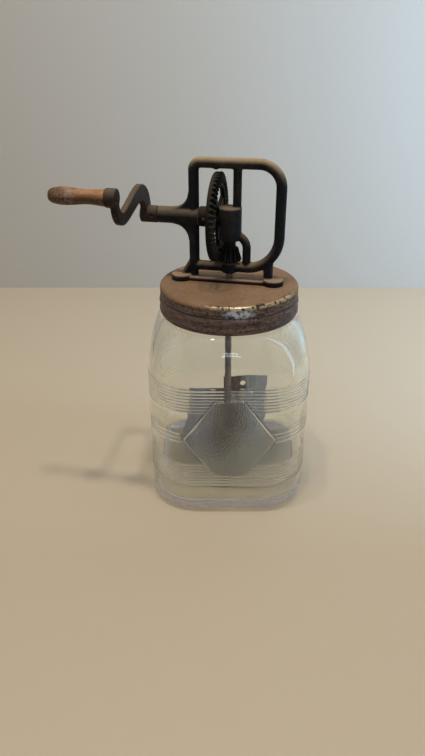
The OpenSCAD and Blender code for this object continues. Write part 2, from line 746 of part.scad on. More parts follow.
// Spoked bevel gear on the crank shaft, its teeth towards the rod
module drive_gear() {
    rim_in = body_short * sin(gear_root);
    rim_out = body_len * sin(gear_root);
    hub_front = block_d / 2 + block_room;
    hole_r = rim_in - gear_band_w;
    front_in = body_short * cos(gear_root);
    step_r = rim_in + gear_step_w;
    back_in = gear_back - gear_dish;
    web_front = block_d / 2 + gap;
    web_t = 3.6;
    spoke_w = 6.5;
    spoke_bite = 0.5;
    color("#2f2a25") translate([0, 0, axis_z]) rotate([0, -90, 0]) difference() {
        union() {
            bevel_teeth(gear_teeth, gear_cone, gear_ded, gear_add, face_w, 0);
            rotate_extrude() polygon([[hole_r, front_in], [rim_in, front_in],
                [rim_out, body_len * cos(gear_root)], [rim_out, gear_back], [step_r, gear_back],
                [step_r, back_in], [hole_r, back_in]]);
            translate([0, 0, hub_front]) cylinder(d = gear_hub_d, h = hub_back - play - hub_front);
            for (i = [0 : spokes - 1])
                rotate([0, 0, spoke_turn + 360 * i / spokes]) translate([0, -spoke_w / 2, web_front])
                    cube([step_r + spoke_bite, spoke_w, web_t]);
        }
        translate([0, 0, web_front - cut]) cylinder(d = shaft_d + 2 * fit, h = hub_back - web_front);
        translate([0, 0, gear_pin_x]) pin_hole(pin_d, gear_hub_d);
    }
}

// Pin through the drive gear's hub and the shaft
module gear_pin() {
    color("#5c554c") translate([-gear_pin_x, 0, axis_z]) rotate([90, 0, 0])
        cylinder(d = pin_d, h = gear_hub_d - 2 * pin_sunk, center = true);
}

// Thrust washer between the drive gear's hub and the left leg
module gear_washer() {
    color("#77716a") translate([-leg_face, 0, axis_z]) rotate([0, 90, 0])
        ring(gear_hub_d - 2, shaft_d + 2 * gap, washer_t);
}

// Bevel pinion on the dasher rod
module bevel_pinion() {
    low_r = body_len * sin(pinion_root);
    top_r = pinion_body_short * sin(pinion_root);
    low = body_len * cos(pinion_root);
    top = pinion_body_short * cos(pinion_root);
    color("#3a332c") translate([0, 0, axis_z]) rotate([180, 0, 0]) difference() {
        union() {
            bevel_teeth(pinion_teeth, pinion_cone, pinion_ded, pinion_add, pinion_face_w,
                180 / pinion_teeth);
            translate([0, 0, top]) cylinder(r1 = top_r, r2 = low_r, h = low - top);
        }
        translate([0, 0, top - cut]) cylinder(d = rod_d + 2 * fit, h = low - top + 2 * cut);
        translate([0, 0, axis_z - pinion_pin_z]) pin_hole(pinion_pin_d, 2 * low_r);
    }
}

// Pin through the pinion and the rod
module pinion_pin() {
    color("#5c554c") translate([0, 0, pinion_pin_z]) rotate([90, 0, 0])
        cylinder(d = pinion_pin_d, h = 1.8 * short_len * sin(pinion_root), center = true);
}

// Thrust washer that the pinion runs on
module pinion_washer() {
    color("#77716a") translate([0, 0, bearing_top]) ring(bearing_d - 2, rod_d + 2 * gap, washer_t);
}

rivet_z = [paddle_z + rivet_in, upper_z + rivet_in, lower_end - rivet_in, upper_end - rivet_in];

// Steel rod from the head down into the jar
module dasher_shaft() {
    color("#6e675e") difference() {
        translate([0, 0, rod_z]) cylinder(d = rod_d, h = rod_top - rod_z);
        translate([0, 0, pinion_pin_z]) pin_hole(pinion_pin_d, rod_d);
        for (z = rivet_z)
            translate([0, 0, z]) rotate([0, 0, paddle_turn]) pin_hole(rivet_d, rod_d);
    }
}

// One paddle in plan: a channel pressed to the back of the rod, and a blade folded at its outer half
module paddle_plan() {
    difference() {
        union() {
            intersection() {
                circle(r = saddle_r);
                translate([-saddle_r, fit]) square([2 * saddle_r, saddle_r]);
            }
            translate([rod_r, fit]) square([fold_x - rod_r, paddle_t]);
            translate([fold_x, paddle_t / 2 + fit]) {
                circle(d = paddle_t);
                rotate([0, 0, -fold_angle]) translate([0, -paddle_t / 2])
                    square([paddle_len - fold_x, paddle_t]);
            }
        }
        circle(r = rod_r + fit);
    }
}

// One perforated paddle, from height z, facing along +X
module paddle(z) {
    holes = [for (i = [0 : 3]) z + hole_down + i * (paddle_h - 2 * hole_down) / 3];
    hole_x = fold_x - hole_in;
    difference() {
        translate([0, 0, z]) linear_extrude(paddle_h) paddle_plan();
        for (h = holes)
            translate([hole_x, 0, h]) rotate([90, 0, 0])
                cylinder(d = paddle_hole_d, h = saddle_r, center = true);
        for (h = rivet_z)
            translate([0, 0, h]) pin_hole(rivet_d, 2 * saddle_r);
    }
}

// Upper paddle of tinned sheet
module upper_paddle() {
    color("#8d8a85") rotate([0, 0, paddle_turn]) paddle(upper_z);
}

// Lower paddle of tinned sheet, on the other side of the rod
module lower_paddle() {
    color("#8d8a85") rotate([0, 0, paddle_turn + 180]) paddle(paddle_z);
}

// A rivet across the rod, with its heads on the paddles or on the rod itself
module rivet(z, front, back) {
    translate([0, 0, z]) rotate([-90, 0, 0]) {
        translate([0, 0, -front]) cylinder(d = rivet_d, h = front + back);
        translate([0, 0, -front - rivet_head_t])
            cylinder(d1 = rivet_d, d2 = rivet_head_d, h = rivet_head_t);
        translate([0, 0, back]) cylinder(d1 = rivet_head_d, d2 = rivet_d, h = rivet_head_t);
    }
}

// Rivets that hold both paddles to the rod
module dasher_rivets() {
    color("#6e675e") rotate([0, 0, paddle_turn]) for (z = rivet_z)
        rivet(z, z < lower_end ? saddle_r : rod_r, z > upper_z ? saddle_r : rod_r);
}

glass_jar();
jar_gasket();
screw_lid();
gear_frame();
frame_screws();
screw_washers();
crank_shaft();
crank_arm();
crank_pin();
grip_spindle();
grip_washer();
wooden_grip();
drive_gear();
gear_pin();
gear_washer();
bevel_pinion();
pinion_pin();
pinion_washer();
dasher_shaft();
upper_paddle();
lower_paddle();
dasher_rivets();
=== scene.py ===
import math
import bpy
import numpy as np
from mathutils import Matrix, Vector


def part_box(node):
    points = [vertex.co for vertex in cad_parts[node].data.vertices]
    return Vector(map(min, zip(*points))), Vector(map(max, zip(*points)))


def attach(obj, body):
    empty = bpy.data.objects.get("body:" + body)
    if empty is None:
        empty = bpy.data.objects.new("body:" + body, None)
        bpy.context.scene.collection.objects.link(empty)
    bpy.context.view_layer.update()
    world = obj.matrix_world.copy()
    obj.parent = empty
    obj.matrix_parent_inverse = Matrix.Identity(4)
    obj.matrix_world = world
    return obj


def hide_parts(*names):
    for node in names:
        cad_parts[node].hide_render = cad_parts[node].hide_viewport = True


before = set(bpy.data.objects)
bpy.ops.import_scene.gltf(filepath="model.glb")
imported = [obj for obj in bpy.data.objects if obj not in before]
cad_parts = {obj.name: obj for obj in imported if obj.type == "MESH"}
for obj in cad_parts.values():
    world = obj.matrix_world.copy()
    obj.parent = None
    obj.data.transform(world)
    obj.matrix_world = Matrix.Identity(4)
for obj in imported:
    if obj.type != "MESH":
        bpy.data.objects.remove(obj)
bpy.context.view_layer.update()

bpy.context.scene.view_settings.view_transform = "Standard"

# The jar: clear pressed glass, square with well rounded corners, ribbed in two bands, with a stippled
# diamond in a raised line on each face. A plunger pressed it in an iron mould, so its floor is thick
# and its round neck carries a raised thread for the lid. Its thick foot looks pale lilac.
mm = 0.001
# Sizes are in millimetres, and heights are from the table
jar_turn = math.radians(11.5)
jar_half, jar_corner = 78.0, 46.0
jar_flat = jar_half - jar_corner
corner_run = jar_flat + jar_corner * math.pi / 4
heel, wall, floor_z, floor_round = 12.0, 3.8, 9.0, 9.0
foot_top, foot_share = 15.0, 0.5
body_top, shoulder_rise, shoulder_blend, shoulder_drop, neck_gain = 146.5, 44.0, 1.3, 1.5, 2.4
neck_r, neck_low, neck_high, neck_step, rim_z = 60.5, 194.0, 213.1, 0.7, 216.0
thread_z, thread_pitch, thread_end = 199.0, 8.0, 450.0
thread_half, thread_flank, thread_rise = 1.5, 0.75, 2.2
diamond_z, diamond_rise, diamond_wide, diamond_cut, edge_lean = 88.0, 43.5, 45.5, 31.0, 0.815
line_rise, line_w, line_room = 0.65, 2.0, 3.0
stipple_in, stipple_end, stipple_fade = 1.7, 40.0, 8.0
rib_rise, rib_reach, rib_pitch, rib_count, rib_low, rib_high = 0.85, 1.25, 3.3, 8, 35.0, 142.5
belts, belt_zone, belt_share = [85.9, 90.2, 94.7], 15.0, 0.6
ribs = [rib_low + rib_pitch * i for i in range(rib_count)]
ribs += [rib_high - rib_pitch * i for i in range(rib_count)]
# Front, right, back and left: little of the relief shows on the faces that are seen through the glass
face_depth, face_grain = (1, 0.65, 0.3, 0.65), (1, 0.25, 0.6, 0.25)


def run_to(x):
    # Length round the glass from the middle of a face to a point x across it
    return x if x < jar_flat else jar_flat + jar_corner * math.asin((x - jar_flat) / jar_corner)


def diamond_edge(z):
    return run_to(diamond_wide - diamond_cut * min(abs(z - diamond_z) / diamond_rise, 1))


def stations(z):
    # Where the mesh lines cross half a face at height z: inside the diamond, on its line, and outside
    edge = diamond_edge(z)
    inside = [share * (edge - line_room) for share in (0, 0.3, 0.55, 0.74, 0.88)]
    line = [edge - d for d in (line_room, 2.5, 2.1, 1.7, 1.25, 0.8, 0.4, 0)]
    outside = [edge + share * (corner_run - edge) for share in (0.04, 0.14, 0.3, 0.47, 0.65, 0.83, 1)]
    return inside + line + outside


def within_diamond(run, z):
    # How far inside the diamond's edge a point lies, square to that edge
    return min(edge_lean * (diamond_edge(z) - abs(run)), diamond_rise - abs(z - diamond_z))


def relief(run, z):
    # How far the glass stands proud of its plain wall
    within = within_diamond(run, z)
    if within > 0:
        return line_rise * math.sin(math.pi * min(within / line_w, 1))
    levels = ribs + belts if abs(z - diamond_z) < diamond_rise else ribs
    near = min(abs(z - level) for level in levels) / rib_reach
    rise = rib_rise if abs(z - diamond_z) > belt_zone else belt_share * rib_rise
    return rise * math.cos(math.pi / 2 * min(near, 1)) ** 2


def stipple(run, z):
    fade = min(1, max(0, (stipple_end - abs(run)) / stipple_fade))
    return fade if within_diamond(run, z) > stipple_in else 0


def square_point(run, proud):
    # A point of the rounded square, a length run from the middle of its -Y face
    side, run = math.copysign(1, run), abs(run)
    if run <= jar_flat:
        return side * run, -jar_half - proud
    a = (run - jar_flat) / jar_corner
    r = jar_corner + proud
    return side * (jar_flat + r * math.sin(a)), -jar_flat - r * math.cos(a)


def around(z, point, stippled=False, foot=0.0):
    # One level of glass: point(run, depth) on one face, carried to all four faces
    half = stations(z)
    face = [-run for run in reversed(half[1:])] + half[:-1]
    level = []
    for turn, (c, s) in enumerate(((1, 0), (0, 1), (-1, 0), (0, -1))):
        for run in face:
            beside = face_depth[(turn + (1 if run > 0 else -1)) % 4]
            depth = face_depth[turn] + (beside - face_depth[turn]) * abs(run) / corner_run / 2
            x, y = point(run, depth)
            grain = stipple(run, z) * face_grain[turn] if stippled else 0
            level.append((x * c - y * s, x * s + y * c, z, grain, foot))
    return level


def shoulder_height(share):
    return body_top + shoulder_rise * math.sin(math.pi / 2 * share)


def shoulder_point(share, inset):
    # From the square body to the round neck, a share of the way up
    reach = neck_r + (jar_half - neck_r) * math.cos(math.pi / 2 * share) - inset
    blend = share ** shoulder_blend
    plain = jar_half - inset

    def point(run, depth):
        x, y = square_point(run, -inset)
        a = math.pi / 4 * run / corner_run
        return (reach * ((1 - blend) * x / plain + blend * math.sin(a)),
                reach * ((1 - blend) * y / plain - blend * math.cos(a)))
    return point


def round_point(r):
    def point(run, depth):
        a = math.pi / 4 * run / corner_run
        return r * math.sin(a), -r * math.cos(a)
    return point


def thread_up(turn, z):
    # How far up the thread's flank a point is, 0 to 1, on either of its turns
    up = 0
    for t in (turn, turn + 360):
        if t <= thread_end:
            middle = thread_z + thread_pitch * t / 360
            up = max(up, min(1, (thread_half - abs(z - middle)) / thread_flank))
    return up


def thread_levels():
    # The neck with its raised thread, one turn and a quarter round
    levels = []
    for z in np.arange(neck_low, neck_high, neck_step):
        level = []
        for x, y, z, grain, foot in around(z, round_point(1)):
            r = neck_r + thread_rise * thread_up(math.degrees(math.atan2(y, x)) % 360, z)
            level.append((x * r, y * r, z, grain, foot))
        levels.append(level)
    return levels


def heel_levels(inset, low, radius, angles, foot):
    levels = []
    for a in angles:
        inward = inset + radius * (1 - math.sin(a))
        levels.append(around(low + radius * (1 - math.cos(a)),
                             lambda run, depth: square_point(run, -inward), foot=foot))
    return levels


def flat_level(z, share, inset, foot=0.0):
    # A plain level of the inside or the floor, drawn in to a share of the rounded square
    return around(z, lambda run, depth: tuple(share * p for p in square_point(run, -inset)), foot=foot)


# The skin of the glass, from under the foot up the outside, over the rim and down the inside to the floor
quarter = [math.pi / 16 * i for i in range(9)]
# Share of the way out, and height
foot_hollow = ((0, 1.5), (0.5, 1.5), (0.85, 1.2), (0.97, 0.4))
glass = [flat_level(z, share, heel, 1.0) for share, z in foot_hollow]
glass += heel_levels(0, 0, heel, quarter, 1.0)
across_rib = (-1, -0.65, -0.35, 0, 0.35, 0.65, 1)
across_line = (-0.05, 0.05, 0.4, 0.7, 1.0, 1.3, 1.6, 2.0, 2.6)
heights = [14, 20, 27, 31, 62, 68, 74, 80, 100, 106, 112]
heights += [level + rib_reach * d for level in ribs + belts for d in across_rib]
heights += [diamond_z + side * (diamond_rise - d) for side in (-1, 1) for d in across_line]
for z in sorted(set(round(height, 3) for height in heights)):
    glass.append(around(z, lambda run, depth: square_point(run, depth * relief(run, z)), True,
                        foot_share if z < foot_top else 0.0))
shares = [i / 14 for i in range(15)]
glass += [around(shoulder_height(share), shoulder_point(share, 0)) for share in shares]
glass += thread_levels()
rim_outline = ((60.5, 214.2), (60.2, 215.3), (59.4, 215.9), (58.0, rim_z), (56.6, 215.9), (55.8, 215.3),
               (55.5, 214.2), (54.6, 205.0))
glass += [around(z, round_point(r)) for r, z in rim_outline]
for share in reversed(shares):
    glass.append(around(shoulder_height(share) - shoulder_drop,
                        shoulder_point(share, wall + neck_gain * share ** 2)))
inside_heights = (120, 90, 60, 35, 22)
glass += [flat_level(z, 1, wall) for z in inside_heights]
glass += heel_levels(wall, floor_z, floor_round, reversed(quarter), 0.0)
floor_crown = ((0.85, 0.3), (0.5, 0.8), (0, 1))
glass += [flat_level(floor_z + rise, share, wall + floor_round) for share, rise in floor_crown]

bpy.ops.object.select_all(action="DESELECT")
bpy.ops.mesh.primitive_grid_add(x_subdivisions=len(glass[0]), y_subdivisions=len(glass) - 1)
jar = bpy.context.object
jar.name = "jar_glass"
skin = np.array([level + level[:1] for level in glass]).reshape(-1, 5)
c, s = math.cos(jar_turn), math.sin(jar_turn)
places = np.stack([skin[:, 0] * c - skin[:, 1] * s, skin[:, 0] * s + skin[:, 1] * c, skin[:, 2]], 1) * mm
jar.data.vertices.foreach_set("co", places.ravel())
for column, mark in ((3, "stipple"), (4, "foot")):
    values = skin[:, column].astype(np.float32)
    jar.data.attributes.new(mark, "FLOAT", "POINT").data.foreach_set("value", values)
bpy.ops.object.mode_set(mode="EDIT")
bpy.ops.mesh.select_all(action="SELECT")
bpy.ops.mesh.remove_doubles(threshold=1e-5)
bpy.ops.mesh.normals_make_consistent(inside=False)
bpy.ops.object.mode_set(mode="OBJECT")
bpy.ops.object.shade_smooth()


def node_maker(tree):
    # fill sets or wires the inputs of a named node, and add makes a node, fills it and gives one output
    def fill(name, wires):
        node = tree.nodes[name]
        for key, source in wires.items():
            socket = node.inputs[key]
            if isinstance(source, bpy.types.NodeSocket):
                tree.links.new(source, socket)
            else:
                socket.default_value = (*source, 1) if socket.type == "RGBA" else source
        return node

    def add(kind, wires=None, out=0, **values):
        node = tree.nodes.new("ShaderNode" + kind)
        for key, value in values.items():
            setattr(node, key, value)
        return fill(node.name, wires or {}).outputs[out]
    return add, fill


def new_finish(name):
    finish = bpy.data.materials.new(name)
    finish.use_nodes = True
    return (finish, *node_maker(finish.node_tree))


def noise(add, place, scale, detail, roughness=0.5, distortion=0.0):
    return add("TexNoise", {"Vector": place, "Scale": scale, "Detail": detail, "Roughness": roughness,
                            "Distortion": distortion}, "Fac")


def spread(add, source, low, high, at_low=0.0, at_high=1.0):
    # A share that goes from at_low to at_high while its source goes from low to high
    return add("MapRange", {"Value": source, "From Min": low, "From Max": high,
                            "To Min": at_low, "To Max": at_high})


def both(add, a, b):
    return add("Math", {0: a, 1: b}, operation="MULTIPLY")


def bump(add, height, strength, depth, beneath=None):
    wires = {"Height": height, "Strength": strength, "Distance": depth}
    return add("Bump", wires if beneath is None else {**wires, "Normal": beneath})


pressed_glass, add, fill = new_finish("pressed_glass")
place = add("TexCoord", out="Object")
dimpled = add("Attribute", out="Fac", attribute_name="stipple")
dimples = add("TexVoronoi", {"Vector": place, "Scale": 600.0}, "Distance")
wavy = bump(add, noise(add, place, 20.0, 4.0, 0.6), 0.12, 0.0015)
dented = bump(add, both(add, dimples, dimpled), 0.7, 0.00055, wavy)
clear = fill("Principled BSDF", {
    "Base Color": (0.97, 0.985, 0.965), "Transmission Weight": 1, "IOR": 1.5,
    "Roughness": both(add, dimpled, 0.085), "Normal": dented}).outputs[0]
# A pale lilac skin, thinner underneath, is painted reflection: it stands in for the light inside the thick
# foot, because the renderer stops following light inside such thick glass and would leave it black.
pale = add("BsdfPrincipled", {"Base Color": (0.7, 0.68, 0.84), "Roughness": 0.4, "Normal": wavy})
thin = add("BsdfTransparent", {"Color": (0.9, 0.89, 0.93)})
on_side = spread(add, add("SeparateXYZ", {"Vector": place}, "Z"), 0.0016, 0.003, 0.0, 0.6)
foot_skin = add("MixShader", {0: on_side, 1: thin, 2: pale})
foot = add("Attribute", out="Fac", attribute_name="foot")
mottled = both(add, foot, spread(add, noise(add, place, 160.0, 4.0), 0.3, 0.7, 0.7, 0.9))
glass_and_foot = add("MixShader", {0: mottled, 1: clear, 2: foot_skin})
# Lamps shine through, and light that is caught in the wall is let out after two reflections, for the
# same reason.
lamp_light = add("BsdfTransparent", {"Color": (0.78, 0.78, 0.77)})
lit = add("MixShader", {0: add("LightPath", out="Is Shadow Ray"), 1: glass_and_foot, 2: lamp_light})
caught = add("Math", {0: add("LightPath", out="Glossy Depth"), 1: 1.5}, operation="GREATER_THAN")
let_out = add("BsdfTransparent", {"Color": (0.95, 0.95, 0.94)})
fill("Material Output", {
    "Surface": add("MixShader", {0: caught, 1: lit, 2: let_out}),
    "Volume": add("VolumeAbsorption", {"Color": (0.74, 0.76, 0.6), "Density": 12.0})})
jar.data.materials.append(pressed_glass)


def fit_piece(piece, body, node):
    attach(piece, body)
    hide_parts(node)


fit_piece(jar, "jar", "glass_jar")

# The gasket: a flat ring punched from sheet rubber, which lies in the lid and is squeezed between the
# lid and the glass rim. It has gone dark and hard.
aged_rubber, add, fill = new_finish("aged_rubber")
place = add("TexCoord", out="Object")


def tones(add, source, *stops):
    # A colour that runs from tone to tone with a noise or a height
    ramp = add("ValToRGB", {"Fac": source})
    marks = ramp.node.color_ramp.elements
    while len(marks) < len(stops):
        marks.new(0.5)
    for mark, (level, tone) in zip(marks, stops + stops[-1:]):
        mark.position, mark.color = level, (*tone, 1)
    return ramp


bloom = tones(add, noise(add, place, 120.0, 5.0), (0, (0.028, 0.022, 0.018)), (1, (0.085, 0.068, 0.052)))
fill("Principled BSDF", {"Base Color": bloom, "Roughness": 0.85})


def dress(node, finish):
    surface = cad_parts[node].data.materials
    surface.clear()
    surface.append(finish)


dress("jar_gasket", aged_rubber)

# The lid: tinned sheet pressed to a shallow cap, with a plain band and two rolled beads round its skirt
# that are the outside of its thread. The tin has browned on top, darkened and speckled down the skirt,
# and is chipped along its edge, with a gold highlight painted along the front of the edge.
lid_top, lid_r, lid_in, tin, rod_hole_r, edge_round = 218.9, 66.3, 65.4, 0.9, 4.4, 3.2
band_mid, band_low, step_mid, step_low, skirt_low = 212.0, 209.3, 208.6, 207.9, 191.9
bead_spans, bead_rise, bead_steps = ((207.6, 199.9), (199.3, 192.1)), 1.2, 10
skirt_step = 0.3
skirt_r = lid_r - skirt_step
lid_outline = [(rod_hole_r, lid_top), (30, lid_top), (50, lid_top), (lid_r - edge_round - 1.5, lid_top)]
for a in quarter:
    lid_outline.append((lid_r - edge_round * (1 - math.sin(a)), lid_top - edge_round * (1 - math.cos(a))))
lid_outline += [(lid_r, band_mid), (lid_r, band_low), (lid_r - skirt_step / 2, step_mid), (skirt_r, step_low)]
for top, low in bead_spans:
    for share in [i / bead_steps for i in range(bead_steps + 1)]:
        lid_outline.append((skirt_r + bead_rise * math.sin(math.pi * share), top + (low - top) * share))
lid_outline += [(skirt_r, skirt_low), (lid_in, 192.1), (lid_in, 214.6), (lid_in - 0.9, 216.9)]
lid_outline += [(lid_in - 2.6, lid_top - tin), (rod_hole_r, lid_top - tin)]


def turned(name, outline, middle, axis, steps):
    # A piece spun from its closed outline: points are placed one after another, then swept round the axis
    bpy.ops.object.select_all(action="DESELECT")
    bpy.ops.mesh.primitive_plane_add(size=mm)
    piece = bpy.context.object
    piece.name = name
    bpy.ops.object.mode_set(mode="EDIT")
    bpy.ops.mesh.select_all(action="SELECT")
    bpy.ops.mesh.merge(type="CENTER")
    here = Vector(outline[0])
    bpy.ops.transform.translate(value=here)
    for point in outline[1:] + outline[:1]:
        there = Vector(point)
        bpy.ops.mesh.extrude_region_move(TRANSFORM_OT_translate={"value": there - here})
        here = there
    bpy.ops.mesh.select_all(action="SELECT")
    bpy.ops.mesh.spin(steps=steps, angle=2 * math.pi, center=middle, axis=axis)
    bpy.ops.mesh.select_all(action="SELECT")
    bpy.ops.mesh.remove_doubles(threshold=1e-6)
    bpy.ops.mesh.normals_make_consistent(inside=False)
    bpy.ops.object.mode_set(mode="OBJECT")
    return piece


lid = turned("tin_lid", [(r * mm, 0, z * mm) for r, z in lid_outline], (0, 0, 0), (0, 0, 1), steps=144)
bpy.ops.object.shade_smooth_by_angle(angle=math.radians(40))

browned_tin, add, fill = new_finish("browned_tin")
place = add("TexCoord", out="Object")
height = add("SeparateXYZ", {"Vector": place}, "Z")


def over(add, share, under, upper):
    # One colour laid over another
    return add("Mix", {0: share, 6: under, 7: upper}, 2, data_type="RGBA")


def from_axis(add, place):
    flat_place = add("VectorMath", {0: place, 1: (1, 1, 0)}, operation="MULTIPLY")
    return add("VectorMath", {0: flat_place}, "Value", operation="LENGTH")


def from_spot(add, place, spot):
    return add("VectorMath", {0: place, 1: spot}, "Value", operation="DISTANCE")


# Heights and distances in a finish are in metres, as the piece's own coordinates are
clouds = noise(add, place, 26.0, 8.0, 0.64)
specks = noise(add, place, 330.0, 5.0, 0.7)
mottle = noise(add, place, 260.0, 4.0, 0.6)
chips = noise(add, place, 230.0, 3.0, 0.55)
streaks = noise(add, add("Mapping", {"Vector": place, "Scale": (1.0, 1.0, 7.0)}), 75.0, 6.0, 0.62)
top_tone = tones(add, clouds, (0.3, (0.15, 0.077, 0.033)), (0.7, (0.27, 0.152, 0.072)))
skirt_tone = tones(add, streaks, (0.34, (0.032, 0.018, 0.017)), (0.66, (0.23, 0.155, 0.125)))
# The gold is a painted highlight and the bluish grey a painted reflection
speck_brown, gold_highlight, reflection_blue_grey = (0.03, 0.014, 0.011), (0.6, 0.45, 0.22), (0.55, 0.62, 0.7)
# The near black for the bead grooves is painted shade
patch_dark_blue, groove_shade_black, chip_black = (0.018, 0.03, 0.065), (0.02, 0.013, 0.01), (0.018, 0.011, 0.009)
# Brown top and streaked skirt, with specks, most of them on the skirt
on_skirt = spread(add, height, 0.2168, 0.2152)
speckled = both(add, spread(add, specks, 0.5, 0.57), spread(add, clouds, 0.35, 0.6, 0.25, 0.9))
tone = over(add, on_skirt, top_tone, skirt_tone)
tone = over(add, both(add, speckled, spread(add, on_skirt, 0.0, 1.0, 0.25, 1.0)), tone, speck_brown)
# A painted highlight: the edge is coloured gold and made metallic along its front, round one spot
out_and_up = add("Math", {0: from_axis(add, place), 1: height}, operation="ADD")
from_front_spot = from_spot(add, place, (0.034, -0.052, 0.214))
edge_highlight = both(add, spread(add, out_and_up, 0.2821, 0.2829), spread(add, clouds, 0.42, 0.56))
edge_highlight = both(add, edge_highlight, spread(add, from_front_spot, 0.05, 0.03))
tone = over(add, edge_highlight, tone, gold_highlight)
# A painted reflection lies on the band, a bluish grey patch wider than high, with a dark blue patch beside it
reflection_x, reflection_y, reflection_z, reflection_flatness = 0.0209, -0.0629, 0.2125, 2.6
reflection_place = add("Mapping", {"Vector": place, "Location": (-reflection_x, -reflection_y, -reflection_z * reflection_flatness),
                             "Scale": (1.0, 1.0, reflection_flatness)})
from_reflection = add("VectorMath", {0: reflection_place}, "Value", operation="LENGTH")
band_reflection = both(add, spread(add, from_reflection, 0.018, 0.008), spread(add, mottle, 0.42, 0.55, 0.0, 0.9))
from_dark_blue = from_spot(add, place, (0.0125, -0.065, 0.2128))
dark_blue_patch = both(add, spread(add, from_dark_blue, 0.0085, 0.004), spread(add, mottle, 0.5, 0.44))
tone = over(add, band_reflection, tone, reflection_blue_grey)
tone = over(add, both(add, dark_blue_patch, on_skirt), tone, patch_dark_blue)
# Painted shade darkens the grooves of the beads, and chips are out of the edge
groove_z, groove_gap = 0.2077, 0.0081
groove = add("Math", {0: height, 1: groove_z}, operation="SUBTRACT")
groove = add("Math", {0: groove, 1: groove_gap}, operation="PINGPONG")
groove_shade = both(add, on_skirt, spread(add, groove, 0.0011, 0.0003))
groove_shade = both(add, groove_shade, spread(add, height, 0.2095, 0.209))
tone = over(add, both(add, groove_shade, spread(add, streaks, 0.3, 0.6, 0.9, 0.6)), tone, groove_shade_black)
chipped = both(add, spread(add, out_and_up, 0.2795, 0.2825), spread(add, chips, 0.53, 0.56))
chipped = both(add, chipped, spread(add, from_front_spot, 0.055, 0.035))
tone = over(add, chipped, tone, chip_black)
bright = both(add, on_skirt, spread(add, streaks, 0.42, 0.6, 0.1, 0.55))
shine = add("Math", {0: bright, 1: edge_highlight}, operation="MAXIMUM")
fill("Principled BSDF", {
    "Base Color": tone, "Roughness": spread(add, shine, 0.0, 0.9, 0.68, 0.3),
    "Metallic": both(add, shine, spread(add, chipped, 0.0, 1.0, 0.9, 0.0)),
    "Normal": bump(add, clouds, 0.2, 0.002, bump(add, specks, 0.3, 0.0004))})
lid.data.materials.append(browned_tin)
fit_piece(lid, "lid", "screw_lid")

# The cast head: one grey-iron casting of round bars, with soft corners where the bars run together.
# It was left bare or thinly blacked, and is now near black, brown in patches where hands have been, and
# brown on its upper faces, partly for dust and partly as painted light from above.
# Thickness given back for each round of softening
full_gain = 0.06


def cast_from(node, name, grain, rounds):
    # The solid as it comes from the sand: merged, drawn over with a fine even skin, its corners softened,
    # and brought back to its full thickness. It keeps a mark of how far each point faces up.
    bpy.ops.object.select_all(action="DESELECT")
    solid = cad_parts[node]
    piece = solid.copy()
    piece.data = solid.data.copy()
    piece.name = name
    piece.parent = None
    for key in [k for k in piece.keys() if k.startswith("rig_")]:
        del piece[key]
    bpy.context.scene.collection.objects.link(piece)
    piece.data.materials.clear()
    bpy.context.view_layer.objects.active = piece
    piece.select_set(True)
    bpy.ops.object.mode_set(mode="EDIT")
    bpy.ops.mesh.select_all(action="SELECT")
    bpy.ops.mesh.remove_doubles(threshold=1e-6)
    bpy.ops.object.mode_set(mode="OBJECT")
    skin = piece.modifiers.new("sand_skin", "REMESH")
    skin.mode = "VOXEL"
    skin.voxel_size = grain * mm
    bpy.ops.object.modifier_apply(modifier=skin.name)
    soft = piece.modifiers.new("soft_corners", "SMOOTH")
    soft.factor = 0.5
    soft.iterations = rounds
    bpy.ops.object.modifier_apply(modifier=soft.name)
    full = piece.modifiers.new("full_size", "DISPLACE")
    full.mid_level = 0
    full.strength = full_gain * rounds * mm
    bpy.ops.object.modifier_apply(modifier=full.name)
    bpy.ops.object.shade_smooth()
    normals = np.empty(3 * len(piece.data.vertices), np.float32)
    piece.data.vertex_normals.foreach_get("vector", normals)
    piece.data.attributes.new("top_side", "FLOAT", "POINT").data.foreach_set("value", normals[2::3].copy())
    return piece


head = cast_from("gear_frame", "cast_head", grain=0.8, rounds=6)


def iron_finish(name, dark, browns, rust, rust_share, dust_and_light=0.85):
    # Cast or wrought iron: dark in its skin, brown where it faces up, partly dust and partly painted light
    # from above, with spots of rust and a sandy grain. The brown is given at one or more heights.
    finish, add, fill = new_finish(name)
    place = add("TexCoord", out="Object")
    patches = noise(add, place, 55.0, 8.0, 0.65)
    sand = noise(add, place, 900.0, 3.0, 0.6)
    spots = noise(add, place, 240.0, 6.0, 0.7)
    # Painted light: the brown on faces that point up stands partly for dust and partly for light from above
    dust_and_light_share = spread(add, add("Attribute", out="Fac", attribute_name="top_side"), 0.05, 0.85, 0.0, dust_and_light)
    patchy = spread(add, patches, 0.48, 0.75, 0.0, 0.16)
    browned = add("Math", {0: dust_and_light_share, 1: patchy}, operation="ADD", use_clamp=True)
    brown = tones(add, add("SeparateXYZ", {"Vector": place}, "Z"), *browns)
    skin = over(add, browned, dark, brown)
    fill("Principled BSDF", {
        "Base Color": over(add, spread(add, spots, 0.5, 0.68, 0.0, rust_share), skin, rust),
        "Roughness": spread(add, browned, 0.0, 1.0, 0.5, 0.75), "Specular IOR Level": 0.06,
        "Normal": bump(add, spots, 0.25, 0.0006, bump(add, sand, 0.35, 0.0003))})
    return finish


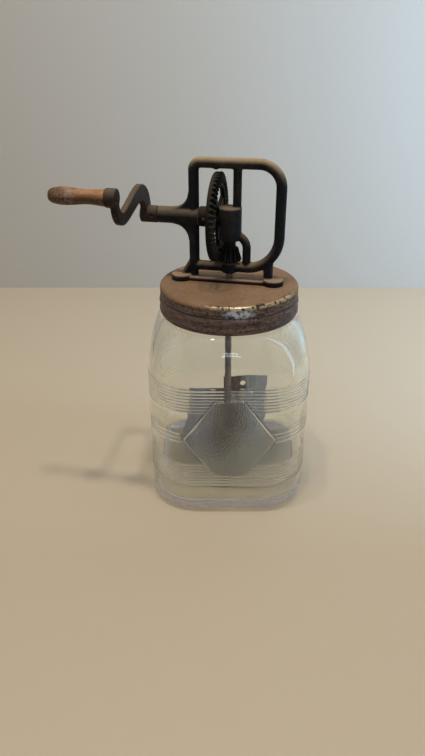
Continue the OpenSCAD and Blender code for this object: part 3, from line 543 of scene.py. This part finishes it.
# Browns by height; the bright browns at the foot pads and the top bar are partly painted light
strap_top, pad_top, foot_bar, block_low, boss_top, bar_top = 0.2222, 0.2229, 0.228, 0.25, 0.3, 0.322
head_browns_and_light = [(strap_top, (0.13, 0.108, 0.085)), (pad_top, (0.46, 0.275, 0.16)),
               (foot_bar, (0.3, 0.205, 0.12)), (block_low, (0.15, 0.108, 0.068)),
               (boss_top, (0.19, 0.135, 0.082)), (bar_top, (0.41, 0.29, 0.165))]
black_iron = iron_finish("black_iron", (0.0105, 0.012, 0.0155), head_browns_and_light,
                         (0.05, 0.032, 0.019), rust_share=0.25)
head.data.materials.append(black_iron)
fit_piece(head, "lid", "gear_frame")

# Screws and washers of the head: turned steel, put in from under the lid into the foot pads, so that
# only their heads show inside the lid.
dull_steel = iron_finish("dull_steel", (0.07, 0.06, 0.05), [(0, (0.16, 0.14, 0.12))],
                         (0.13, 0.07, 0.035), rust_share=0.5)
dress("frame_screws", dull_steel)
dress("screw_washers", dull_steel)

# The crank: a steel shaft in the long boss, with an S-shaped cast arm pinned on its end. The arm is
# rustier than the head.
dress("crank_shaft", dull_steel)
arm = cast_from("crank_arm", "crank_arm_casting", grain=0.6, rounds=5)
rusty_iron = iron_finish("rusty_iron", (0.022, 0.018, 0.0145), [(0, (0.15, 0.108, 0.07))],
                         (0.11, 0.05, 0.027), rust_share=0.55, dust_and_light=0.7)
arm.data.materials.append(rusty_iron)
fit_piece(arm, "crank", "crank_arm")
dress("crank_pin", rusty_iron)

# The grip: turned hardwood that runs loose on a riveted spindle, thick at the arm, waisted, with a
# swelled round end. Its stain is worn through to the bare wood, and dark where it has been left.
# Its underside is darkened with painted shade.
dress("grip_spindle", rusty_iron)
dress("grip_washer", rusty_iron)
grip_low, grip_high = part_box("wooden_grip")
grip_y, grip_z = (grip_low.y + grip_high.y) / 2, (grip_low.z + grip_high.z) / 2
grip_in, grip_out = grip_high.x, grip_low.x
# Share of the length from the arm, and radius in mm
grip_shape = [(0, 2.65), (0, 6.3), (0.012, 6.75), (0.035, 6.85), (0.08, 6.7), (0.14, 6.35), (0.22, 5.92),
              (0.3, 5.77), (0.4, 5.95), (0.5, 6.45), (0.6, 6.95), (0.7, 7.22), (0.78, 7.22), (0.86, 6.85),
              (0.92, 6.25), (0.96, 5.6), (0.985, 4.95), (1.0, 4.3), (0.998, 4.05), (0.91, 4.0), (0.9, 3.9),
              (0.9, 2.65)]
grip_outline = [(grip_in + (grip_out - grip_in) * share, grip_y, grip_z + r * mm) for share, r in grip_shape]
grip = turned("turned_grip", grip_outline, (0, grip_y, grip_z), (1, 0, 0), steps=64)
bpy.ops.object.shade_smooth_by_angle(angle=math.radians(50))

worn_wood, add, fill = new_finish("worn_wood")
place = add("TexCoord", out="Object")
along = add("Mapping", {"Vector": place, "Location": (0, -grip_y, -grip_z), "Scale": (1.0, 9.0, 9.0)})
grain = noise(add, along, 55.0, 8.0, 0.65, 0.4)
patches = noise(add, place, 75.0, 6.0, 0.62)
fine = noise(add, place, 420.0, 4.0, 0.65)
wood = tones(add, grain, (0.3, (0.19, 0.077, 0.025)), (0.7, (0.48, 0.215, 0.072)))
stain_and_shade_black, spot_grey = (0.014, 0.008, 0.007), (0.27, 0.21, 0.18)
# The stain is left at the far end and in patches, and the same dark is painted underneath as shade
at_end = spread(add, add("SeparateXYZ", {"Vector": place}, "X"), grip_out + 0.018, grip_out + 0.004, 0.0, 0.9)
# Painted shade under the grip
under = spread(add, add("SeparateXYZ", {"Vector": place}, "Z"), grip_z + 0.0032, grip_z - 0.0004)
stain_and_shade = add("Math", {0: at_end, 1: under}, operation="MAXIMUM")
stain_and_shade = add("Math", {0: spread(add, patches, 0.5, 0.64, 0.0, 0.8), 1: stain_and_shade}, operation="MAXIMUM")
wood = over(add, both(add, stain_and_shade, spread(add, fine, 0.3, 0.6, 1.0, 0.7)), wood, stain_and_shade_black)
# A greyish spot on the front of the swell
from_grey_spot = from_spot(add, place, (grip_out + 0.017, grip_y - 0.0055, grip_z + 0.0015))
grey_spot = both(add, spread(add, from_grey_spot, 0.008, 0.002, 0.0, 0.6), spread(add, fine, 0.42, 0.55))
fill("Principled BSDF", {
    "Base Color": over(add, grey_spot, wood, spot_grey), "Roughness": spread(add, stain_and_shade, 0.0, 1.0, 0.5, 0.66),
    "Normal": bump(add, grain, 0.3, 0.0005)})
grip.data.materials.append(worn_wood)
fit_piece(grip, "grip", "wooden_grip")

# The gears: a spoked bevel gear pinned on the crank shaft, and a small bevel pinion on the dasher rod,
# both cast iron with cut teeth, black with old grease and a little brown on top, partly painted light.
gear = cast_from("drive_gear", "bevel_gear", grain=0.55, rounds=2)
greased_iron = iron_finish("greased_iron", (0.0055, 0.0055, 0.0055), [(0, (0.044, 0.033, 0.02))],
                           (0.028, 0.018, 0.011), rust_share=0.3)
gear.data.materials.append(greased_iron)
fit_piece(gear, "crank", "drive_gear")
pinion = cast_from("bevel_pinion", "bevel_pinion_cut", grain=0.4, rounds=1)
pinion.data.materials.append(greased_iron)
fit_piece(pinion, "dasher", "bevel_pinion")
for node in ("gear_pin", "gear_washer", "pinion_pin", "pinion_washer"):
    dress(node, dull_steel)

# The dasher: a steel rod with two folded, pierced paddles of tinned sheet riveted to it. The tin is
# painted bright and bluish towards the edges, a painted reflection, and dark brown near the rod, painted
# shade.
rod_steel = iron_finish("rod_steel", (0.19, 0.155, 0.13), [(0, (0.12, 0.1, 0.085))],
                        (0.09, 0.055, 0.035), rust_share=0.6)
dress("dasher_shaft", rod_steel)
dress("dasher_rivets", rod_steel)


def tin_finish(name, near_rod_shade, bright):
    # Tinned sheet with painted shade round the rod and a painted bright reflection towards its edges,
    # streaked the way that it was drawn
    finish, add, fill = new_finish(name)
    place = add("TexCoord", out="Object")
    clouds = noise(add, add("Mapping", {"Vector": place, "Scale": (1.0, 1.0, 0.3)}), 160.0, 7.0, 0.65)
    outer = spread(add, from_axis(add, place), 0.014, 0.026)
    uneven = spread(add, clouds, 0.35, 0.65, -0.35, 0.35)
    share = add("Math", {0: outer, 1: uneven}, operation="ADD", use_clamp=True)
    fill("Principled BSDF", {
        "Base Color": over(add, share, near_rod_shade, bright), "Metallic": 0.6,
        "Roughness": spread(add, clouds, 0.0, 1.0, 0.5, 0.25), "Normal": bump(add, clouds, 0.3, 0.0006)})
    return finish


# The two copies differ in painted light: the upper paddle's is brighter at its edges and darker at the rod
dress("upper_paddle", tin_finish("bright_tin", (0.05, 0.034, 0.03), (0.4, 0.46, 0.56)))
dress("lower_paddle", tin_finish("dark_tin", (0.12, 0.105, 0.115), (0.33, 0.35, 0.45)))

# The stage: a pale table and a pale wall behind it, both seen from their front only, three small lamps
# under a light ceiling, a small window behind the camera, daylight on the wall from the right, and a
# camera a little above the churn's head.
eye = Vector((0.10058, -0.57427, 0.433))
looks = Vector((-0.17479, 0.85912, -0.48099))
ahead = Vector((looks.x, looks.y, 0)).normalized()
across = Vector((ahead.y, -ahead.x, 0))
under_eye = Vector((eye.x, eye.y, 0))
wall_away, wall_rise, table_reach, stage_half = 1.145, 2.5, 1.5, 2
wall_foot = under_eye + ahead * wall_away
table_tone, wall_tone = (0.53, 0.425, 0.295), (0.505, 0.455, 0.378)


def up(rise):
    return Vector((0, 0, rise))


def plain_backdrop(name, low, high, colour):
    # A sheet between the middles of its lower and upper edge
    bpy.ops.object.select_all(action="DESELECT")
    bpy.ops.mesh.primitive_plane_add(size=1)
    sheet = bpy.context.object
    sheet.name = name
    corners = [middle + across * side * stage_half for middle in (low, high) for side in (-1, 1)]
    sheet.data.vertices.foreach_set("co", [p for corner in corners for p in corner])
    paint, add, fill = new_finish(name + "_paint")
    front = fill("Principled BSDF", {"Base Color": colour, "Roughness": 0.6}).outputs[0]
    from_behind = add("NewGeometry", out="Backfacing")
    one_sided = add("MixShader", {0: from_behind, 1: front, 2: add("BsdfTransparent")})
    fill("Material Output", {"Surface": one_sided})
    sheet.data.materials.append(paint)


plain_backdrop("table", under_eye - ahead * table_reach, wall_foot + ahead * table_reach, table_tone)
plain_backdrop("wall", wall_foot, wall_foot + up(wall_rise), wall_tone)


def soft_lamp(name, place, aim, size, watts, colour):
    lamp = bpy.data.lights.new(name, "AREA")
    lamp.shape = "RECTANGLE"
    lamp.size, lamp.size_y = size
    lamp.energy = watts
    lamp.color = colour
    holder = bpy.data.objects.new(name, lamp)
    holder.location = place
    holder.rotation_euler = (aim - place).to_track_quat("-Z", "Y").to_euler()
    bpy.context.scene.collection.objects.link(holder)
    return holder


warm, cool, blue = (1, 0.95, 0.87), (0.78, 0.9, 1), (0.42, 0.66, 1)
ceiling = up(2)
for x in (0.23, -0.03, -0.29):
    below = Vector((x, -0.3, 0))
    soft_lamp("ceiling_lamp", below + ceiling, below, size=(0.08, 0.08), watts=7, colour=warm)
window = eye - ahead * 1.6 + across * 0.09 + up(0.42)
soft_lamp("window_strip", window, up(0.2), size=(0.35, 0.12), watts=1.2, colour=cool)
lit_wall = wall_foot + across * 1.0 + up(0.6)
daylight = soft_lamp("right_daylight", lit_wall - ahead * 0.7, lit_wall, size=(1.1, 1.1), watts=22,
                     colour=blue)
daylight.visible_glossy = False

# The room is light above and dimmer behind the camera
sky = bpy.data.worlds.new("room")
sky.use_nodes = True
add, fill = node_maker(sky.node_tree)
toward = add("TexCoord", out="Generated")
rise = add("SeparateXYZ", {"Vector": toward}, "Z")
room = tones(add, rise, (0.0, (0.3, 0.3, 0.3)), (0.9, (0.44, 0.465, 0.5)))
behind = add("VectorMath", {0: toward, 1: -ahead}, "Value", operation="DOT_PRODUCT")
dimmed = add("VectorMath", {0: room, "Scale": spread(add, behind, 0.4, 0.9, 1.0, 0.5)}, operation="SCALE")
fill("Background", {"Color": dimmed, "Strength": 1.0})
bpy.context.scene.world = sky

sensor, focal_px, frame_px = 36, 640, 756
lens = bpy.data.cameras.new("front")
lens.sensor_fit = "VERTICAL"
lens.sensor_height = sensor
lens.lens = sensor * focal_px / frame_px
lens.clip_start = 0.01
tripod = bpy.data.objects.new("front", lens)
tripod.location = eye
tripod.rotation_euler = looks.to_track_quat("-Z", "Y").to_euler()
bpy.context.scene.collection.objects.link(tripod)
bpy.context.scene.camera = tripod
